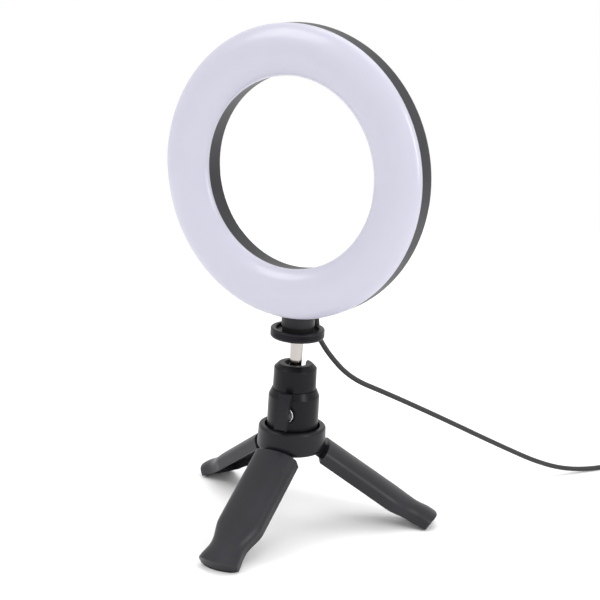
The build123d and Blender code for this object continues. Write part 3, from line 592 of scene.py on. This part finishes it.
@dataclass
class Lead:
    """Lead, its coil and tie, and the control with the USB plug.

    Attributes:
        plan: Sizes and route.
    """

    plan: LeadPlan = field(default_factory=LeadPlan)

    def build(self) -> None:
        """Make the lead and dress the control."""
        self.cord()
        self.tie()
        self.control()

    def ground(self, along: float, aside: float, height: float) -> Vector:
        """Point at a distance along the heading and to its right."""
        p = self.plan
        turn = math.radians(p.heading)
        start = Vector((p.axis[0] + p.gland[0], p.axis[1] + p.gland[1], height))
        ahead = Vector((math.cos(turn), math.sin(turn), 0))
        right = Vector((math.sin(turn), -math.cos(turn), 0))
        return start + ahead * along + right * aside

    def coil_points(self) -> list:
        """Control points of the turns, clockwise from the point where the lead arrives."""
        p = self.plan
        centre = self.ground(p.reach, p.turn_r, 0)
        first = 90.0 + p.heading
        total = 360.0 * p.whole_turns + first
        per_layer = total / p.layers
        count = round(total / p.step)
        points = []
        for n in range(count + 1):
            swept = total * n / count
            layer = min(p.layers - 1, int(swept / per_layer))
            share = swept / per_layer - layer
            inward = share if layer % 2 == 0 else 1 - share
            radius = p.turn_r - p.pitch * per_layer / 360.0 * inward
            climb = min(1.0, max(0.0, (share - 0.92) / 0.08)) if layer < p.layers - 1 else 0.0
            height = p.radius + 0.0001 + p.rise * (layer + climb)
            a = math.radians(first - swept)
            points.append(centre + Vector((radius * math.cos(a), radius * math.sin(a), height)))
        return points

    def cord(self) -> None:
        """The whole lead as one tube, from the gland to the control."""
        p = self.plan
        points = [self.ground(s, 0, z) for s, z in p.route]
        turns = self.coil_points()
        points += turns
        boot_low, boot_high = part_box("cord_boot")
        last_x = (boot_low.x + boot_high.x) / 2
        top = turns[-1].z
        points.append(Vector((last_x, turns[-1].y - 0.007, top)))
        points.append(Vector((last_x, boot_high.y + 0.008, (top + p.end_z) / 2)))
        points.append(Vector((last_x, boot_high.y + 0.001, p.end_z)))
        points.append(Vector((last_x, boot_low.y + 0.001, p.end_z)))
        line = nurbs_line(points)
        cord = sweep("usb_lead", line, p.radius, JACKET)
        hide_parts("cord_tube", "cord_coil", "cord_end")
        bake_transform(cord)

    def tie(self) -> None:
        """A strap with rounded corners round the bundle of turns."""
        low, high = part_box("coil_tie")
        coil_low, coil_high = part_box("cord_coil")
        centre = (coil_low + coil_high) / 2
        out = (Vector(((low.x + high.x) / 2, (low.y + high.y) / 2, 0))
               - Vector((centre.x, centre.y, 0)))
        bearing = out.normalized()
        across = Vector((-bearing.y, bearing.x, 0))
        middle_r = out.length
        half_band, height = 0.0054, 0.0126
        corner, thick, half_width = 0.0022, 0.0006, 0.0028
        loop = []
        spots = ((half_band - corner, height - corner, 0), (corner - half_band, height - corner, 90),
                 (corner - half_band, corner, 180), (half_band - corner, corner, 270))
        for x, z, start in spots:
            loop += arc((x, z), (corner, corner), start, start + 90, 6)
        points, faces = [], []
        for side in (-half_width, half_width):
            for x, z in loop:
                points.append(Vector((centre.x, centre.y, z)) + bearing * (middle_r + x)
                              + across * side)
        count = len(loop)
        for n in range(count):
            after = (n + 1) % count
            faces.append((n, after, count + after, count + n))
        strap = add_mesh("tie_strap", points, faces, RUBBER)
        solid = strap.modifiers.new("thickness", "SOLIDIFY")
        solid.thickness = thick
        solid.offset = -1.0
        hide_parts("coil_tie")
        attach(strap, Body.BASE.value)

    def control(self) -> None:
        """Finishes of the control, its keys and the plug, and the signs on the keys."""
        dress("cord_boot", RUBBER, 0.0003)
        dress("cord_gland", RUBBER, 0.0003)
        dress("control_lower", BLACK, 0.0002)
        dress("control_upper", BLACK, 0.0002)
        dress("control_board", GREEN)
        dress("usb_shell", STEEL, 0.0001)
        dress("usb_tongue", WHITE, 0.0001)
        signs = {"button_power": "power", "button_brighter": "plus", "button_dimmer": "minus"}
        for node, sign in signs.items():
            dress(node, KEY, 0.0002)
            self.sign(node, sign)

    def sign(self, node: str, kind: str) -> None:
        """A small printed sign on top of a key.

        Args:
            node: The key's CAD node.
            kind: power, plus or minus.
        """
        low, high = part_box(node)
        top = Vector(((low.x + high.x) / 2, (low.y + high.y) / 2, high.z - 0.000005))
        half, line = 0.0011, 0.0002
        bars = []
        if kind != "power":
            bars.append((half, line))
        if kind == "plus":
            bars.append((line, half))
        points, faces = [], []
        for x, y in bars:
            base = len(points)
            for sx, sy in ((-1, -1), (1, -1), (1, 1), (-1, 1)):
                points.append(top + Vector((sx * x, sy * y, 0.00001)))
            faces.append(tuple(range(base, base + 4)))
        if kind == "power":
            steps = 20
            for n in range(steps + 1):
                a = math.radians(125 + 290 * n / steps)
                for r in (half - line, half + line):
                    points.append(top + Vector((r * math.cos(a), r * math.sin(a), 0.00001)))
            for n in range(steps):
                faces.append((2 * n, 2 * n + 1, 2 * n + 3, 2 * n + 2))
            base = len(points)
            for sx, y in ((-1, 0.0), (1, 0.0), (1, half + line), (-1, half + line)):
                points.append(top + Vector((sx * line, y, 0.00001)))
            faces.append(tuple(range(base, base + 4)))
        mark = add_mesh(f"sign_{kind}", points, faces, PRINT)
        raised = mark.modifiers.new("ink", "SOLIDIFY")
        raised.thickness = 0.00003
        raised.offset = 0.0
        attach(mark, f"{node}_body")


# ---- the light -----------------------------------------------------------------------------
@dataclass
class LightHead:
    """Ring with its diffuser, rear housing, board and screws, and the ball stud under it.

    Attributes:
        shell: Thickness of the diffuser.
        hole: Inner radius of the diffuser.
        skirt: Depth of the skirts that reach into the housing.
        steps: Steps round half of the diffuser's section.
    """

    shell: float = 0.0016
    hole: float = 0.0522
    skirt: float = 0.0030
    steps: int = 40

    def build(self) -> None:
        """Make the diffuser and the stud, and dress the rest."""
        self.diffuser()
        dress("rear_housing", HOUSING, 0.0002)
        dress("led_board", BOARD)
        dress("leds_warm", WARM)
        dress("leds_cool", COOL)
        dress("housing_screws", STEEL)
        dress("board_standoffs", WHITE)
        dress("threaded_insert", BRASS)
        self.stud()

    def diffuser(self) -> None:
        """Smooth milky dome over the ring."""
        low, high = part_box("diffuser")
        housing_low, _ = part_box("rear_housing")
        centre = middle("diffuser")
        outer = (high.x - low.x) / 2
        lip = housing_low.y
        rise = lip - low.y
        mid, half = (outer + self.hole) / 2, (outer - self.hole) / 2
        outline = arc((mid, 0), (half, rise), 180, 0, self.steps)
        outline += [(outer - 0.0022, 0.0), (outer - 0.0022, -self.skirt), (outer - 0.0036, -self.skirt),
                    (outer - 0.0036, 0.0)]
        outline += arc((mid, 0), (half - 0.0038, rise - self.shell), 0, 180, self.steps // 2)
        outline += [(self.hole + 0.0038, 0.0), (self.hole + 0.0038, -self.skirt),
                    (self.hole + 0.0025, -self.skirt), (self.hole + 0.0025, 0.0)]
        outline = [(r, max(h, -self.skirt)) for r, h in outline]
        place = Matrix.Translation((centre.x, lip, centre.z)) @ Matrix.Rotation(
            math.radians(90), 4, "X")
        dome = lathe("diffuser_dome", outline, place, MILKY, 256)
        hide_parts("diffuser")
        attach(dome, Body.LIGHT.value)

    def stud(self) -> None:
        """Polished ball, its post and the threaded end."""
        low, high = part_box("ball_stud")
        centre = middle("ball_stud")
        ball = (high.x - low.x) / 2
        ball_z = low.z + ball
        wheel_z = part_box("lock_wheel")[0].z
        post_low, post_top, thread = 0.0034, 0.0038, 0.003175
        neck = math.degrees(math.asin(post_low / ball))
        outline = [(r, ball_z + h) for r, h in arc((0, 0), (ball, ball), -90, 90 - neck, 40)]
        outline[0] = (0.0, low.z)
        neck_z = outline[-1][1]
        outline += [(post_low, neck_z + 0.0008), (post_top, wheel_z - 0.0002), (thread, wheel_z)]
        pitch = 0.00127
        z = wheel_z + pitch / 2
        while z < high.z - 2 * pitch:
            outline += [(thread - 0.0004, z), (thread, z + pitch / 2)]
            z += pitch
        outline += [(thread, high.z - 0.0008), (thread - 0.0008, high.z), (0.0, high.z)]
        place = Matrix.Translation((centre.x, centre.y, 0))
        piece = lathe("stud_polished", outline, place, NICKEL, 96)
        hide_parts("ball_stud")
        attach(piece, Body.LIGHT.value)


# ---- the lock wheel ------------------------------------------------------------------------
@dataclass
class LockWheel:
    """Wheel that locks the light on the stud.

    Attributes:
        grooves: Heights of the grooves round the edge.
        groove_half: Half a groove's width, and its depth.
        bore: Radius of the hole for the stud.
        recess: Radius of the dish in the top.
    """

    grooves: tuple = (0.0019, 0.0028, 0.0037)
    groove_half: float = 0.0003
    bore: float = 0.0033
    recess: float = 0.0123

    def build(self) -> None:
        """Make the wheel and dress its pad."""
        low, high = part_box("lock_wheel")
        centre = middle("lock_wheel")
        radius = (high.x - low.x) / 2
        outline = [(self.bore, low.z), (radius - 0.0014, low.z)]
        outline += arc((radius - 0.0012, low.z + 0.0013), (0.0012, 0.0013), -80, -5, 6)
        for height in self.grooves:
            z = low.z + height
            outline += [(radius, z - self.groove_half), (radius - self.groove_half, z),
                        (radius, z + self.groove_half)]
        outline += [(radius, high.z - 0.0006), (radius - 0.0001, high.z - 0.0004),
                    (radius - 0.0006, high.z), (self.recess + 0.0005, high.z),
                    (self.recess, high.z - 0.0005)]
        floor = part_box("wheel_pad")[0].z
        outline += [(self.recess, floor), (self.bore, floor)]
        wheel = lathe("wheel_grooved", outline, Matrix.Translation((centre.x, centre.y, 0)),
                      BLACK, 160)
        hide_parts("lock_wheel")
        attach(wheel, Body.WHEEL.value)
        dress("wheel_pad", RUBBER, 0.0002)


# ---- the ball head -------------------------------------------------------------------------
@dataclass
class BallHead:
    """Cup, housing, seat and the lock lever.

    Attributes:
        edge: Rounding of the moulded edges.
    """

    edge: float = 0.0004

    def build(self) -> None:
        """Dress the head's parts."""
        dress("ball_cup", HEAD, self.edge)
        dress("head_housing", HEAD, self.edge)
        dress("ball_seat", WHITE)
        dress("clamp_wedge", STEEL)
        dress("lever_washer", STEEL, 0.0001)
        dress("lock_lever", BLACK, 0.0011, 40.0)
        dress("clamp_screw", STEEL)
        dress("pan_bolt", STEEL, 0.0002)
        dress("pan_washer", STEEL)


# ---- the tripod ----------------------------------------------------------------------------
@dataclass
class Tripod:
    """Hub, pins, legs and foot pads.

    Attributes:
        edge: Rounding of the legs' edges.
    """

    edge: float = 0.0006

    def build(self) -> None:
        """Dress the tripod's parts."""
        dress("tripod_hub", BLACK, 0.0004)
        for side in ("front", "right", "left"):
            dress(f"leg_{side}", LEG, self.edge, 38.0)
            dress(f"foot_pad_{side}", RUBBER)
            dress(f"hinge_pin_{side}", STEEL)


def main() -> None:
    """Build the whole scene."""
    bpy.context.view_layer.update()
    CameraPlan().build()
    Lead().build()
    Studio().build()
    LightHead().build()
    LockWheel().build()
    BallHead().build()
    Tripod().build()
    bpy.context.view_layer.update()


if __name__ == "__main__":
    main()
